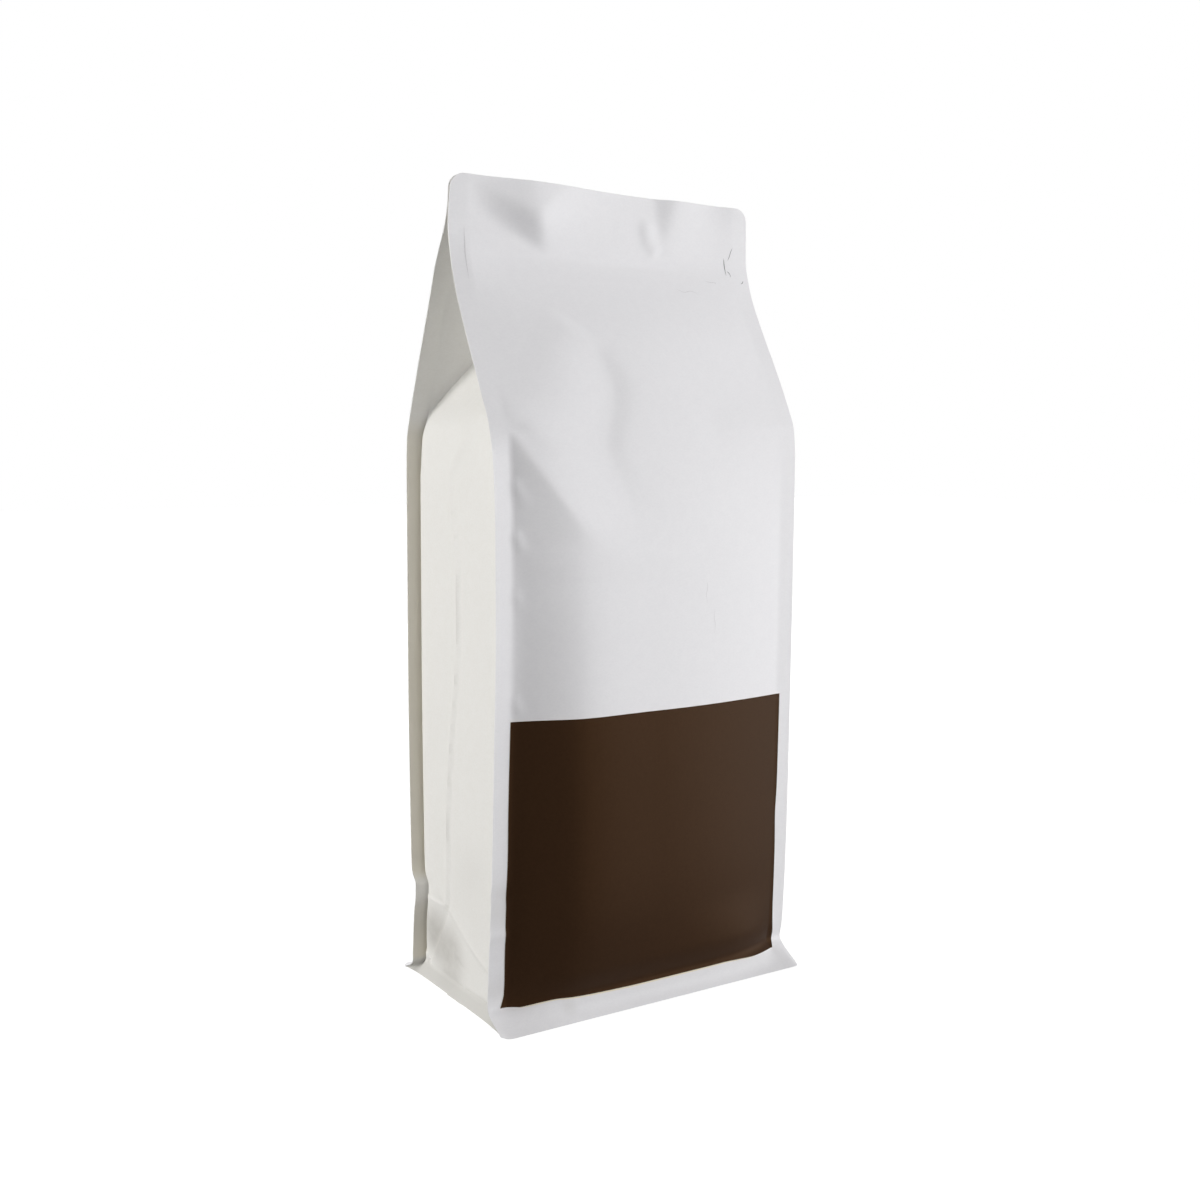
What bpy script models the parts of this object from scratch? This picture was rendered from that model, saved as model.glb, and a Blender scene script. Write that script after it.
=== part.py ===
# Flat-bottom coffee bag, filled and standing, with a wide label on the front panel
# Origin at the centre of the footprint on the ground: +X right, -Y front, +Z up

import math

import bmesh
import bpy

MM = 0.001

# Driving dimensions, in millimetres
BAG_HEIGHT = 340.0
PANEL_WIDTH = 150.0       # front or back panel, over its side seals
BAG_DEPTH = 80.0          # between the front and the back seal planes
SEAL_WIDTH = 8.0          # upright fin along each corner
SEAL_THICKNESS = 0.8
CORNER_RADIUS = 6.0
SHOULDER_HEIGHT = 0.703 * BAG_HEIGHT

# The skirt that the bottom seal makes round the foot
SKIRT_HEIGHT = 8.0
FOOT_WIDTH = 152.0
FOOT_DEPTH = 98.4
FOOT_WAIST = 148.0        # width of the foot between the corners
FOOT_RADIUS = 6.0
GROOVE_HEIGHT = 2.5       # hollow between the skirt and the bottom panel
GROOVE_INSET = 6.2
FLARE_CURL = 1.7          # the skirt curls outwards towards the ground
REST_INSET = 13.0         # from the skirt's edge to the flat that the bag rests on

# The side gussets, which fold inwards above the shoulder
GUSSET_SWELL = 4.5
FRONT_GUSSET_SQUARENESS = 4
BACK_GUSSET_SQUARENESS = 14
FOLD_TIP_HEIGHT = 296.0   # where the two slanted folds of a gusset meet
FOLD_TIP_DEPTH = 36.0     # from the seal's root into the bag
GROOVE_CLOSES = 331.0     # the fold's groove ends here, under the top edge
GROOVE_NARROWS = 317.0

# The label
LABEL_LEFT = -67.9
LABEL_RIGHT = 68.5
LABEL_BOTTOM = 8.0
LABEL_TOP = 124.0
LABEL_THICKNESS = 0.25
LABEL_GAP = 0.3
LABEL_COLUMNS = 34
LABEL_ROWS = 18
LABEL_CROWDING = 1.6      # how far the rows crowd towards the curved foot
SLOPE_STEP = 0.5

# Seal lines and panel centres seen from the side, as (height, y) points
FRONT_SEAL = [(8, -34), (60, -37.6), (150, -41), (215, -41), (240, -38.8), (262, -28),
              (285, -16), (303, -7.6), (318, -5.2), (340, -6.9)]
BACK_SEAL = [(8, 38.6), (28, 36.9), (40, 35.4), (52, 38.6), (150, 39.4), (222, 38.4), (239, 36.8),
             (264, 26.4), (296, 11.9), (311, 4.1), (325, -2.9), (340, -5.2)]
FRONT_CENTRE = [(8, -42.6), (20, -45.6), (60, -48.1), (124, -48.4), (160, -48.1), (187, -47.6), (207, -46.4),
                (220, -44.9), (240, -40.8), (260, -34.2), (281, -24.6), (292, -16.4), (303, -8), (318, -5.2),
                (340, -6.9)]
BACK_CENTRE = [(8, 43), (20, 46.5), (60, 50.2), (124, 50.9), (200, 46), (222, 42), (239, 37.4),
               (264, 26.6), (296, 11.9), (311, 4.1), (325, -2.9), (340, -5.2)]
TOP_BOW = [(300, 0.0), (325, 1.5), (340, 4.5)]

# How squarely the panels swell between their seals, as (height, exponent) points
BACK_SQUARENESS = [(8, 8), (40, 6), (124, 4), (240, 3), (340, 2)]
RIGHT_SQUARENESS = [(8, 5), (40, 2.2), (124, 1.7), (240, 1.6), (300, 2)]
LEFT_SQUARENESS = [(200, 8), (222, 8), (232, 5), (246, 2.6), (340, 2)]

# The front panel's left flank turns back to the seal. Above the belly it ends at a slanted crease.
FLANK_WIDTH = [(166, 67), (178, 58), (188, 42), (196, 31.5), (206, 22.5), (221, 11.5), (237, 1.5)]
FLANK_SQUARENESS = [(8, 9), (40, 8), (165, 7.5), (182, 5), (196, 1.9), (207, 1.25), (220, 1.1)]
FLANK_START = [(150, 1.4), (180, 1.3), (205, 1.0)]
CREASE_RISE = [(178, 0), (192, 0.9), (206, 2.1), (222, 1.9), (234, 1.0), (238, 0)]
FACET_WIDTH = 30.0        # the facet that falls away to the right of the crease
FACET_FADE = 2.0          # how fast the crease's rise dies out across the facet
FACET_FADE_POWER = 1.5

# Dents and soft ridges of the front panel: each line runs up as (height, x) points, and its relief dies out
# over a width on either side and over a height at either end
RIDGES = [
    {"line": [(0, -38), (150, -38), (225, -41)], "left": 26, "right": 50, "rise": 2.2, "low": 45, "high": 68},
    {"line": [(190, -13), (204, -15), (219, -20), (232, -25), (241, -22), (255, -17), (267, -20), (281, -28)],
     "left": 22, "right": 8, "rise": -1.2, "low": 64, "high": 15},
    {"line": [(318, -55), (330, -57.5), (343, -58)], "left": 7, "right": 9, "rise": 1.9, "low": 10, "high": 1},
    {"line": [(306, -30), (325, -34), (343, -37)], "left": 18, "right": 15, "rise": 2.6, "low": 16, "high": 1},
    {"line": [(314, 28), (328, 26.5), (343, 25.5)], "left": 12, "right": 5.5, "rise": -0.9, "low": 13, "high": 1},
    {"line": [(315, 29.5), (328, 32), (343, 36)], "left": 7, "right": 13, "rise": 0.8, "low": 14, "high": 1},
]
RIDGE_SOFTNESS = 2.2
RIDGE_MARGIN = 2.0        # the relief dies out over this width beside the seals

# Heights of the loft's sections, closer where the form turns
SECTION_HEIGHTS = [8, 11, 15, 20, 28, 34, 40, 46, 52, 64, 80, 98, 112, 124, 138, 152, 166, 178, 186, 193, 200,
                   207, 214, 221, 227, 233, 239, 245, 251, 258, 265, 272, 279, 286, 292, 298, 303, 310, 314,
                   317, 320, 323, 326, 329, 331, 334]
SKIRT_STEPS = 4
TOP_STEPS = 4

FRONT_COLUMNS = 30
BACK_COLUMNS = 14
SEAL_CROWDING = 0.25      # how far the columns crowd towards the seals
FLANK_COLUMNS = 3
SIDE_COLUMNS = 6
SIDE_POINTS = 2 * FLANK_COLUMNS + SIDE_COLUMNS + 3
LOW_FLANK = 0.3           # share of half a gusset between the seal and the first even column
LEAST_FLANK = 0.06
FOOT_SQUARENESS = 6
SHARP_ANGLE = 30.0

PAPER_COLOUR = (0.80, 0.79, 0.81)
LABEL_COLOUR = (0.055, 0.028, 0.014)


# Smooth curve through (height, value) points, which never overshoots them
def curve(points, height):
    if height <= points[0][0]:
        return points[0][1]
    if height >= points[-1][0]:
        return points[-1][1]
    slopes = [(b[1] - a[1]) / (b[0] - a[0]) for a, b in zip(points, points[1:])]
    tangents = [slopes[0]]
    for before, after in zip(slopes, slopes[1:]):
        tangents.append(2 * before * after / (before + after) if before * after > 0 else 0.0)
    tangents.append(slopes[-1])
    i = max(k for k in range(len(slopes)) if points[k][0] <= height)
    span = points[i + 1][0] - points[i][0]
    t = (height - points[i][0]) / span
    start = points[i][1] * (1 + 2 * t) * (1 - t) ** 2 + tangents[i] * span * t * (1 - t) ** 2
    end = points[i + 1][1] * t * t * (3 - 2 * t) + tangents[i + 1] * span * t * t * (t - 1)
    return start + end


def blend(a, b, share):
    return a + (b - a) * share


# Half of the panel's width, which turns in at the rounded top corners
def half_width(height):
    rise = max(0.0, height - (BAG_HEIGHT - CORNER_RADIUS))
    turn = CORNER_RADIUS - math.sqrt(max(0.0, CORNER_RADIUS ** 2 - rise ** 2))
    return PANEL_WIDTH / 2 - turn


# The swell of a panel between its seals: 0 at a seal and 1 at the middle
def swell(x, root, squareness):
    return 1 - min(1.0, abs(x) / root) ** squareness


# How far the empty top bows back between its seals, both panels alike
def top_bow(x, height):
    return curve(TOP_BOW, height) * swell(x, half_width(height) - SEAL_WIDTH, 2)


def ease(share):
    share = min(1.0, max(0.0, share))
    return share * share * (3 - 2 * share)


# How far a ridge stands out from the front panel, negative where it is a dent
def ridge_rise(ridge, x, height):
    line = ridge["line"]
    offset = x - curve(line, height)
    width = ridge["left"] if offset < 0 else ridge["right"]
    ends = ease((height - line[0][0]) / ridge["low"]) * ease((line[-1][0] - height) / ridge["high"])
    return ridge["rise"] * ends * math.exp(-RIDGE_SOFTNESS * (offset / width) ** 2)


# Front panel: the share of its swell, and the share of the crease's rise, left and right of the crease
def front_shares(x, height, root):
    inside = max(0.0, 1 - abs(x) / root)
    flank = curve(FLANK_WIDTH, height) / root
    left = curve(LEFT_SQUARENESS, height)
    if x < 0 and inside < flank and height < FLANK_WIDTH[-1][0]:
        rounding = 1 - (1 - (inside / flank) ** curve(FLANK_START, height)) ** curve(FLANK_SQUARENESS, height)
        edge = 1 - max(0.0, 1 - flank) ** left
        return edge * rounding, rounding
    squareness = left if x < 0 else curve(RIGHT_SQUARENESS, height)
    beyond = max(0.0, x + root - flank * root) / FACET_WIDTH
    return 1 - (1 - inside) ** squareness, math.exp(-FACET_FADE * beyond ** FACET_FADE_POWER)


def front_y(x, height):
    root = half_width(height) - SEAL_WIDTH
    share, crease = front_shares(x, height, root)
    seal = curve(FRONT_SEAL, height)
    y = seal + (curve(FRONT_CENTRE, height) - seal) * share + top_bow(x, height)
    relief = sum(ridge_rise(ridge, x, height) for ridge in RIDGES)
    relief *= ease((root - abs(x)) / RIDGE_MARGIN)
    return y - crease * curve(CREASE_RISE, height) * (abs(x) < root) - relief


def back_y(x, height):
    root = half_width(height) - SEAL_WIDTH
    squareness = curve(BACK_SQUARENESS, height)
    seal = curve(BACK_SEAL, height)
    centre = curve(BACK_CENTRE, height)
    return seal + (centre - seal) * swell(x, root, squareness) + top_bow(x, height)


# Places across a panel from the left seal's tip to the right one's, closer together near the seals
def panel_columns(height, count):
    half = half_width(height)
    root = half - SEAL_WIDTH
    steps = [-1 + 2 * i / count for i in range(count + 1)]
    return [-half] + [root * u * (1 + SEAL_CROWDING - SEAL_CROWDING * u * u) for u in steps] + [half]


# How far the fold of a gusset's middle reaches in from the seal's root, negative where it swells out
def fold_depth(height):
    if height <= GROOVE_NARROWS:
        rise = (height - SHOULDER_HEIGHT) / (FOLD_TIP_HEIGHT - SHOULDER_HEIGHT)
        return blend(-GUSSET_SWELL, FOLD_TIP_DEPTH, min(1.0, max(0.0, rise)))
    return max(0.0, FOLD_TIP_DEPTH * (GROOVE_CLOSES - height) / (GROOVE_CLOSES - GROOVE_NARROWS))


# One gusset's section from the front seal's root to the back one's, as (inward, y) points
def gusset_section(height):
    front = curve(FRONT_SEAL, height) + SEAL_THICKNESS
    back = curve(BACK_SEAL, height) - SEAL_THICKNESS
    middle = (front + back) / 2
    depth = fold_depth(height)
    rise = (height - SHOULDER_HEIGHT) / (FOLD_TIP_HEIGHT - SHOULDER_HEIGHT)
    fold = 1 - (1 - rise) * BAG_DEPTH / (back - front)
    low = LOW_FLANK * (1 - (height / SHOULDER_HEIGHT) ** 4)
    flank = min(1 - LEAST_FLANK, max(LEAST_FLANK, fold, low))
    shares = [flank * i / FLANK_COLUMNS for i in range(1, FLANK_COLUMNS + 1)]
    shares += [blend(flank, 1.0, i / (SIDE_COLUMNS / 2)) for i in range(1, int(SIDE_COLUMNS / 2) + 1)]
    halves = []
    for edge, squareness in ((front, FRONT_GUSSET_SQUARENESS), (back, BACK_GUSSET_SQUARENESS)):
        half = []
        for share in shares:
            if depth <= 0:
                inward = depth * (1 - (1 - share) ** squareness)
            else:
                inward = depth * min(1.0, share / flank)
            half.append((inward, blend(edge, middle, share)))
        halves.append(half)
    front_half, back_half = halves[0], halves[1][:-1]
    return [(0.0, front)] + front_half + list(reversed(back_half)) + [(0.0, back)]


# One level section of the bag, counter-clockwise seen from above, from the front left corner
def section(height):
    half = half_width(height)
    root = half - SEAL_WIDTH
    tip_front = curve(FRONT_SEAL, height) + SEAL_THICKNESS
    tip_back = curve(BACK_SEAL, height) - SEAL_THICKNESS
    if height >= GROOVE_CLOSES:
        side = [(half, blend(tip_front, tip_back, i / (SIDE_POINTS - 1))) for i in range(SIDE_POINTS)]
    else:
        fold = [(root - inward, y) for inward, y in gusset_section(height)]
        side = [(half, tip_front)] + [(x, y + top_bow(x, height)) for x, y in fold] + [(half, tip_back)]
    front = [(x, front_y(x, height)) for x in panel_columns(height, FRONT_COLUMNS)]
    back = [(x, back_y(x, height)) for x in reversed(panel_columns(height, BACK_COLUMNS))]
    left = [(-x, y) for x, y in reversed(side)]
    return front + side + back + left


# The foot's outline on the ground, drawn in by an inset, with the same points as a section
def foot(inset):
    half = FOOT_WIDTH / 2 - inset
    waist = FOOT_WAIST / 2 - inset
    depth = FOOT_DEPTH / 2 - inset
    straight = half - FOOT_RADIUS
    corner = FOOT_RADIUS * math.sqrt(0.5)
    tip = (straight + corner, depth - FOOT_RADIUS + corner)
    edges = []
    for count in (FRONT_COLUMNS, BACK_COLUMNS):
        columns = panel_columns(SKIRT_HEIGHT, count)
        long_side = [(x * straight / columns[-2], -depth) for x in columns[1:-1]]
        edges.append([(-tip[0], -tip[1])] + long_side + [(tip[0], -tip[1])])
    front = edges[0]
    back = [(x, -y) for x, y in reversed(edges[1])]
    turn = depth - FOOT_RADIUS
    side = []
    for i in range(SIDE_POINTS):
        share = -1 + 2 * i / (SIDE_POINTS - 1)
        side.append((waist + (half - waist) * abs(share) ** FOOT_SQUARENESS, turn * share))
    left = [(-x, y) for x, y in reversed(side)]
    return front + side + back + left


# Bag: one closed loft from the underside, up the skirt and the walls to the top edge
def bag_mesh():
    rings = []
    rest = foot(REST_INSET)
    rings.append([(x, y, 0.0) for x, y in rest])
    rings.append([(x, y, GROOVE_HEIGHT) for x, y in foot(GROOVE_INSET)])
    rings.append([(x, y, 0.0) for x, y in foot(SEAL_THICKNESS)])
    lowest = section(SKIRT_HEIGHT)
    for i in range(SKIRT_STEPS):
        share = 1 - (1 - i / SKIRT_STEPS) ** FLARE_CURL
        ring = [(blend(a[0], b[0], share), blend(a[1], b[1], share)) for a, b in zip(foot(0.0), lowest)]
        rings.append([(x, y, SKIRT_HEIGHT * i / SKIRT_STEPS) for x, y in ring])
    heights = [float(height) for height in SECTION_HEIGHTS]
    for i in range(1, TOP_STEPS + 1):
        angle = math.radians(90) * i / TOP_STEPS
        heights.append(BAG_HEIGHT - CORNER_RADIUS + CORNER_RADIUS * math.sin(angle))
    for height in heights:
        rings.append([(x, y, height) for x, y in section(height)])

    mesh = bmesh.new()
    loops = [[mesh.verts.new((x * MM, y * MM, z * MM)) for x, y, z in ring] for ring in rings]
    for lower, upper in zip(loops, loops[1:]):
        for i in range(len(lower)):
            j = (i + 1) % len(lower)
            mesh.faces.new((lower[i], lower[j], upper[j], upper[i]))
    mesh.faces.new(list(reversed(loops[0])))
    mesh.faces.new(loops[-1])
    bmesh.ops.recalc_face_normals(mesh, faces=mesh.faces)
    return mesh


# Label: a thin sheet that lies on the front panel from seal to seal
def label_mesh():
    mesh = bmesh.new()
    bmesh.ops.create_grid(mesh, x_segments=LABEL_COLUMNS, y_segments=LABEL_ROWS, size=1.0)
    for vertex in mesh.verts:
        across = (vertex.co.x + 1) / 2
        up = ((vertex.co.y + 1) / 2) ** LABEL_CROWDING
        x = blend(LABEL_LEFT, LABEL_RIGHT, across)
        z = blend(LABEL_BOTTOM, LABEL_TOP, up)
        slope = (
            (front_y(x + SLOPE_STEP, z) - front_y(x - SLOPE_STEP, z)) / (2 * SLOPE_STEP),
            (front_y(x, z + SLOPE_STEP) - front_y(x, z - SLOPE_STEP)) / (2 * SLOPE_STEP),
        )
        length = math.sqrt(1 + slope[0] ** 2 + slope[1] ** 2)
        away = LABEL_GAP / length
        vertex.co = (
            (x + away * slope[0]) * MM,
            (front_y(x, z) - away) * MM,
            (z + away * slope[1]) * MM,
        )
    bmesh.ops.recalc_face_normals(mesh, faces=mesh.faces)
    if sum(face.normal.y for face in mesh.faces) > 0:
        bmesh.ops.reverse_faces(mesh, faces=mesh.faces)
    return mesh


def plain_material(name, colour, roughness):
    material = bpy.data.materials.new(name)
    material.use_nodes = True
    shader = material.node_tree.nodes["Principled BSDF"]
    shader.inputs["Base Color"].default_value = (*colour, 1.0)
    shader.inputs["Roughness"].default_value = roughness
    shader.inputs["Metallic"].default_value = 0.0
    return material


def add_object(name, mesh, material, collection):
    data = bpy.data.meshes.new(name)
    mesh.to_mesh(data)
    mesh.free()
    data.materials.append(material)
    data.shade_smooth()
    data.set_sharp_from_angle(angle=math.radians(SHARP_ANGLE))
    piece = bpy.data.objects.new(name, data)
    collection.objects.link(piece)
    return piece


for old in list(bpy.data.objects):
    bpy.data.objects.remove(old, do_unlink=True)

coffee_bag = bpy.data.collections.new("coffee_bag")
bpy.context.scene.collection.children.link(coffee_bag)

add_object("bag", bag_mesh(), plain_material("paper_laminate", PAPER_COLOUR, 0.55), coffee_bag)
label = add_object("label", label_mesh(), plain_material("label_print", LABEL_COLOUR, 0.42), coffee_bag)
sheet = label.modifiers.new("thickness", "SOLIDIFY")
sheet.thickness = LABEL_THICKNESS * MM
sheet.offset = 1.0
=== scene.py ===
# Looks of the flat-bottom coffee bag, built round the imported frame. Lengths are in millimetres.
import math

import bpy
import numpy as np
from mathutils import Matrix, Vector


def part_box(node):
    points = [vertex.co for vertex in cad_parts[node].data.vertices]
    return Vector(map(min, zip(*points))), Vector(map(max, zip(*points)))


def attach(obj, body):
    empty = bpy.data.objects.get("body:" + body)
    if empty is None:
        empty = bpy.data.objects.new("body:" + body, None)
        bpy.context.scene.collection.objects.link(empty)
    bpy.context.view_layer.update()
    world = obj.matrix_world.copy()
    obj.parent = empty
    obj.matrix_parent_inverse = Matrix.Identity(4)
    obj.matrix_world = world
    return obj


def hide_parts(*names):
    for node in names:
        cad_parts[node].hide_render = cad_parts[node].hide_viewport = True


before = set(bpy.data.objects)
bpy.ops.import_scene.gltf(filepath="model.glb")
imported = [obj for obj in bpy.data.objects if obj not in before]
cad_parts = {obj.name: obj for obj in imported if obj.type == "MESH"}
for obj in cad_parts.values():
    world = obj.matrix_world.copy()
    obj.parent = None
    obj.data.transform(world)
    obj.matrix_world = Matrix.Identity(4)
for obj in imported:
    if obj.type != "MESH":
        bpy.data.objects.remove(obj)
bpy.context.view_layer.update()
mm = 0.001

bagLow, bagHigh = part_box("bag")
bagHeight = (bagHigh[2] - bagLow[2]) / mm
footHalfWidth = (bagHigh[0] - bagLow[0]) / mm / 2
footHalfDepth = 0.6474 * footHalfWidth

# The bag's body: what all its sheets share
bag = {
    "panelHalf": footHalfWidth - 1,
    "seal": 8.0,                # width of the upright fins
    "cornerRadius": 6.0,
    "paper": 0.3,
    "skirt": 8.0,               # height of the sealed skirt round the foot
    # the skirt curls outwards below these heights, given at places across
    "flareHeight": [(-76, 6.0), (-66, 7.0), (-50, 10.5), (76, 10.5)],
    "rearFlareHeight": [(-76, 4.2), (-66, 6.0), (-50, 10.5), (76, 10.5)],
    "flareCurl": 1.7,
    "waist": footHalfWidth - 2,
    "cornerTurn": 4.0,          # radius of the foot's corners
    "shoulder": 0.703 * bagHeight,
    "closedFrom": 302,          # all sheets lie together above the higher of these two heights
    "closedAt": 316,
    "footRows": (12.0, 17),     # a panel's rows over the foot: up to this height, so many
    "cornerRows": 10,
    "finColumns": 7,
}
bag["root"] = bag["panelHalf"] - bag["seal"]


# Smooth curve through (place, value) points, which never overshoots them
def through(points, at):
    places = np.array([point[0] for point in points], float)
    values = np.array([point[1] for point in points], float)
    slopes = np.diff(values) / np.diff(places)
    product = slopes[:-1] * slopes[1:]
    total = np.where(product > 0, slopes[:-1] + slopes[1:], 1.0)
    inner = np.where(product > 0, 2 * product / total, 0.0)
    tangents = np.concatenate([slopes[:1], inner, slopes[-1:]])
    at = np.clip(at, places[0], places[-1])
    i = np.clip(np.searchsorted(places, at, side="right") - 1, 0, len(slopes) - 1)
    span = places[i + 1] - places[i]
    t = (at - places[i]) / span
    start = values[i] * (1 + 2 * t) * (1 - t) ** 2 + tangents[i] * span * t * (1 - t) ** 2
    return start + values[i + 1] * t * t * (3 - 2 * t) + tangents[i + 1] * span * t * t * (t - 1)


def blend(a, b, share):
    return a + (b - a) * share


def ease(value):
    value = np.clip(value, 0.0, 1.0)
    return value * value * (3 - 2 * value)


# A path's points joined by a smooth line
def smoothPath(points):
    points = np.array(points, float)
    stations = np.arange(len(points))
    at = np.linspace(0, len(points) - 1, 5 * (len(points) - 1) + 1)
    return np.stack([through(list(zip(stations, column)), at) for column in points.T], 1)


# Where points lie beside a path that runs downwards, measured level: the signed offset and the share of the
# way along
def besideUpright(across, up, path):
    low, high = path[-1][1], path[0][1]
    offset = across - through([(z, x) for x, z in path[::-1]], up)
    return offset, (high - up) / (high - low)


# The same for any path, measured to its nearest point
def besidePath(across, up, path):
    lengths = np.hypot(*np.diff(path, axis=0).T)
    run = np.concatenate([[0.0], np.cumsum(lengths)]) / lengths.sum()
    shape = np.broadcast(across, up).shape
    nearest = np.full(shape, np.inf)
    offset = np.zeros(shape)
    along = np.zeros(shape)
    for i in range(len(lengths)):
        (startX, startZ), (stepX, stepZ) = path[i], path[i + 1] - path[i]
        t = ((across - startX) * stepX + (up - startZ) * stepZ) / lengths[i] ** 2
        t = np.clip(t, 0.0, 1.0)
        offX = across - (startX + t * stepX)
        offZ = up - (startZ + t * stepZ)
        distance = np.hypot(offX, offZ)
        closer = distance < nearest
        nearest = np.where(closer, distance, nearest)
        offset = np.where(closer, np.where(stepX * offZ > stepZ * offX, distance, -distance), offset)
        along = np.where(closer, blend(run[i], run[i + 1], t), along)
    return offset, along


# Folds and dents pressed into a sheet. Each has a path across the sheet, a width on either side of it as the
# path runs, a height, and the shares of the path over which it starts and ends.
def relief(across, up, folds):
    total = np.zeros(np.broadcast(across, up).shape)
    for fold in folds:
        beside = besideUpright if fold.get("upright") else besidePath
        offset, along = beside(across, up, smoothPath(fold["path"]))
        reach = np.abs(offset) / np.where(offset > 0, fold["left"], fold["right"])
        soft = np.exp(-reach ** 2 * 2.2)
        sharp = np.maximum(0.0, 1 - reach) ** 2
        profile = blend(soft, sharp, fold.get("sharp", 0.0))
        first, last = fold["ends"]
        taper = ease(along / max(first, 1e-3)) * ease((1 - along) / max(last, 1e-3))
        total += fold["height"] * profile * taper
    return total


# Front panel
frontPanel = {
    "leftSeal": [(8, -33.0), (39, -34.8), (63, -36.5), (114, -39.2), (165, -41.5), (200, -41.6),
                 (228, -40.2), (240, -38.1), (252, -32.2), (277, -19.2), (295, -10.7), (308, -6.7),
                 (320, -4.8), (333, -6.6), (340, -7.6)],
    "rightSeal": [(8, -34.6), (19, -36.6), (69, -38.9), (170, -40.6), (228, -41), (240, -40), (249, -36.4),
                  (267, -27.1), (285, -17.0), (295, -11.7), (304, -8), (317, -4.9), (340, -4.6)],
    "middle": [(8, -42.6), (20, -45.8), (60, -48.4), (124, -49.0), (160, -48.7), (187, -48.1), (207, -46.8),
               (220, -45.2), (240, -40.9), (260, -34.2), (281, -24.6), (292, -16.4), (303, -8.4), (311, -5.4),
               (340, -6.0)],
    "topBow": [(300, 0.0), (325, 1.2), (340, 3.6)],
    # the left flank of the filled part ends at a slanted crease: its width and how squarely it swells
    "flankWidth": [(166, 67), (178, 58), (188, 42), (196, 31.5), (206, 22.5), (221, 11.5), (237, 1.5)],
    "flankSwell": [(8, 9), (40, 8), (100, 7.5), (165, 7.5), (182, 5), (196, 1.9), (207, 1.25), (220, 1.1)],
    "flankStart": [(150, 1.4), (180, 1.3), (205, 1.0)],
    "creaseRise": [(178, 0), (192, 0.9), (206, 2.1), (222, 1.9), (234, 1.0), (238, 0)],
    "finLean": [(25, 0), (60, 1.0), (222, 1.0), (240, 0)],
    "finTurn": [(228, 0), (246, 1.3), (296, 1.3), (318, 0)],
    "facetWidth": 30.0,
    "flankTop": 237,
    "upperSwell": [(200, 8), (222, 8), (232, 5), (246, 2.6), (340, 2)],
    "rightSwell": [(8, 5), (40, 2.2), (124, 1.7), (240, 1.6), (300, 2)],
    "rows": 262,
    "columns": 112,
}

# Creases of the front panel: paths in (x, height), outwards where the height is positive
frontFolds = [
    # fullest part of the belly, right of the left flank
    {"path": [(-41, 225), (-38, 150), (-38, 0)], "upright": True, "left": 50, "right": 26, "height": 2.7,
     "ends": (0.3, 0.2)},
    # soft hollow at the right of the facet
    {"path": [(-28, 281), (-20, 267), (-17, 255), (-22, 241), (-25, 232), (-20, 219), (-15, 204),
              (-13, 190)],
     "upright": True, "left": 10, "right": 22, "height": -1.3, "ends": (0.16, 0.7)},
    # right side's shallow hollow
    {"path": [(36, 252), (25, 233)], "left": 12, "right": 9, "height": -0.4, "ends": (0.4, 0.4)},
    # light facet between the shoulder at the left and the hollow
    {"path": [(-29, 285), (-44, 263), (-66, 238)], "left": 24, "right": 12, "height": 1.2,
     "ends": (0.1, 0.15)},
    # small fold beside the dent at the right of the top
    {"path": [(21, 333), (20, 325), (26.5, 315)], "left": 8, "right": 4, "height": 0.8,
     "ends": (0.35, 0.2)},
    # rounding of the skirt below the label
    {"path": [(-62, 5.4), (0, 4.8), (64, 4.6)], "left": 2.4, "right": 2.6, "height": 0.45,
     "ends": (0.05, 0.05)},
    # puckers along the left seal
    {"path": [(-67.5, 219), (-64, 213), (-61, 206)], "left": 3.6, "right": 3.4, "height": 0.6,
     "ends": (0.05, 0.8)},
    {"path": [(-67.5, 199), (-64.5, 194), (-62, 188)], "left": 3.4, "right": 3.2, "height": 0.65,
     "ends": (0.05, 0.8)},
    {"path": [(-67.5, 176), (-65, 172), (-63, 167)], "left": 3.2, "right": 3.6, "height": 0.4,
     "ends": (0.05, 0.8)},
    {"path": [(-67.5, 134), (-64.5, 129), (-62, 122)], "left": 3.4, "right": 3.2, "height": 0.5,
     "ends": (0.05, 0.8)},
]

# Bends of the left fin
finFolds = [
    {"path": [(-76, 38), (-66, 37.4)], "left": 2.6, "right": 5, "height": 0.5, "ends": (0.01, 0.2)},
    {"path": [(-76, 55), (-66, 52.5)], "left": 6, "right": 4, "height": -0.35, "ends": (0.01, 0.2)},
    {"path": [(-76, 11), (-66, 11.6)], "left": 5, "right": 4, "height": -0.4, "ends": (0.01, 0.2)},
]

# Dents pressed into the top seal. Each rises evenly from its foot line to its ridge and falls slowly beyond it.
# One is cut off along a slanted line below, the other fades out at its lower end.
topFacets = [
    {"foot": [(300, -67), (343, -67)], "ridge": [(300, -29), (311, -31), (329.6, -37.3), (343, -39.2)],
     "rise": 0.23, "fall": 80, "cut": ((-66, 327), (-31, 310.8))},
    {"foot": [(313, 27.6), (343, 26.2)], "ridge": [(313, 27.9), (326, 30.6), (343, 35.5)],
     "rise": 0.34, "fall": 28},
]
facetEdges = {"ridgeBend": 1.6, "cutFade": 13, "cutSpread": 0.7, "lowFade": 6}


def halfWidth(height):
    rise = np.maximum(0.0, height - (bagHeight - bag["cornerRadius"]))
    turn = bag["cornerRadius"] - np.sqrt(np.maximum(0.0, bag["cornerRadius"] ** 2 - rise ** 2))
    return bag["panelHalf"] - turn


def topBow(x, height):
    return through(frontPanel["topBow"], height) * (1 - np.minimum(1.0, np.abs(x) / bag["root"]) ** 4)


# Half of the foot's depth, which draws back at its rounded corners
def footEdge(x):
    radius = bag["cornerTurn"]
    into = np.clip(np.abs(x) - (footHalfWidth - radius), 0.0, radius)
    return footHalfDepth - (radius - np.sqrt(np.maximum(0.0, radius ** 2 - into ** 2)))


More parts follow.
